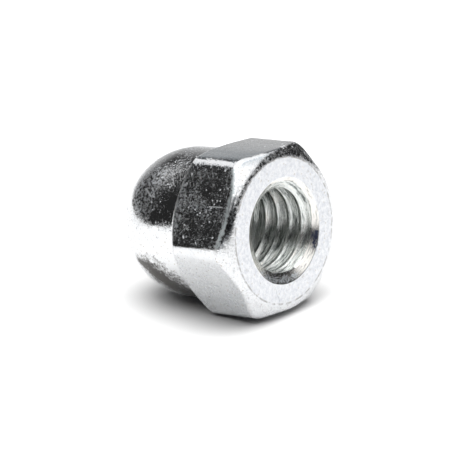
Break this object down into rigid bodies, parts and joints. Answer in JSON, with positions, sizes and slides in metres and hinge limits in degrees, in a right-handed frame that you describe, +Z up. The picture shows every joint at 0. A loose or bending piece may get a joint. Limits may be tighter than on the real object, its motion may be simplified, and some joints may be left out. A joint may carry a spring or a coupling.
{
  "type": "cap nut",
  "caption": "Domed cap nut with a hexagon for a wrench and a blind tapped hole, closed by a smooth round end.",
  "frame": {"origin": "on the surface that the nut lies on, under the middle of its outer box", "axes": "+X towards the tapped mouth, which is tipped up a few degrees, +Y across, +Z up"},
  "size_m": [0.0156, 0.0144, 0.0133],
  "materials": {
    "zinc_plate": "bright zinc plating on cold-formed steel, fine speckle, light scratches"
  },
  "bodies": {
    "root": {"cap_nut": "zinc_plate"}
  },
  "joints": []
}
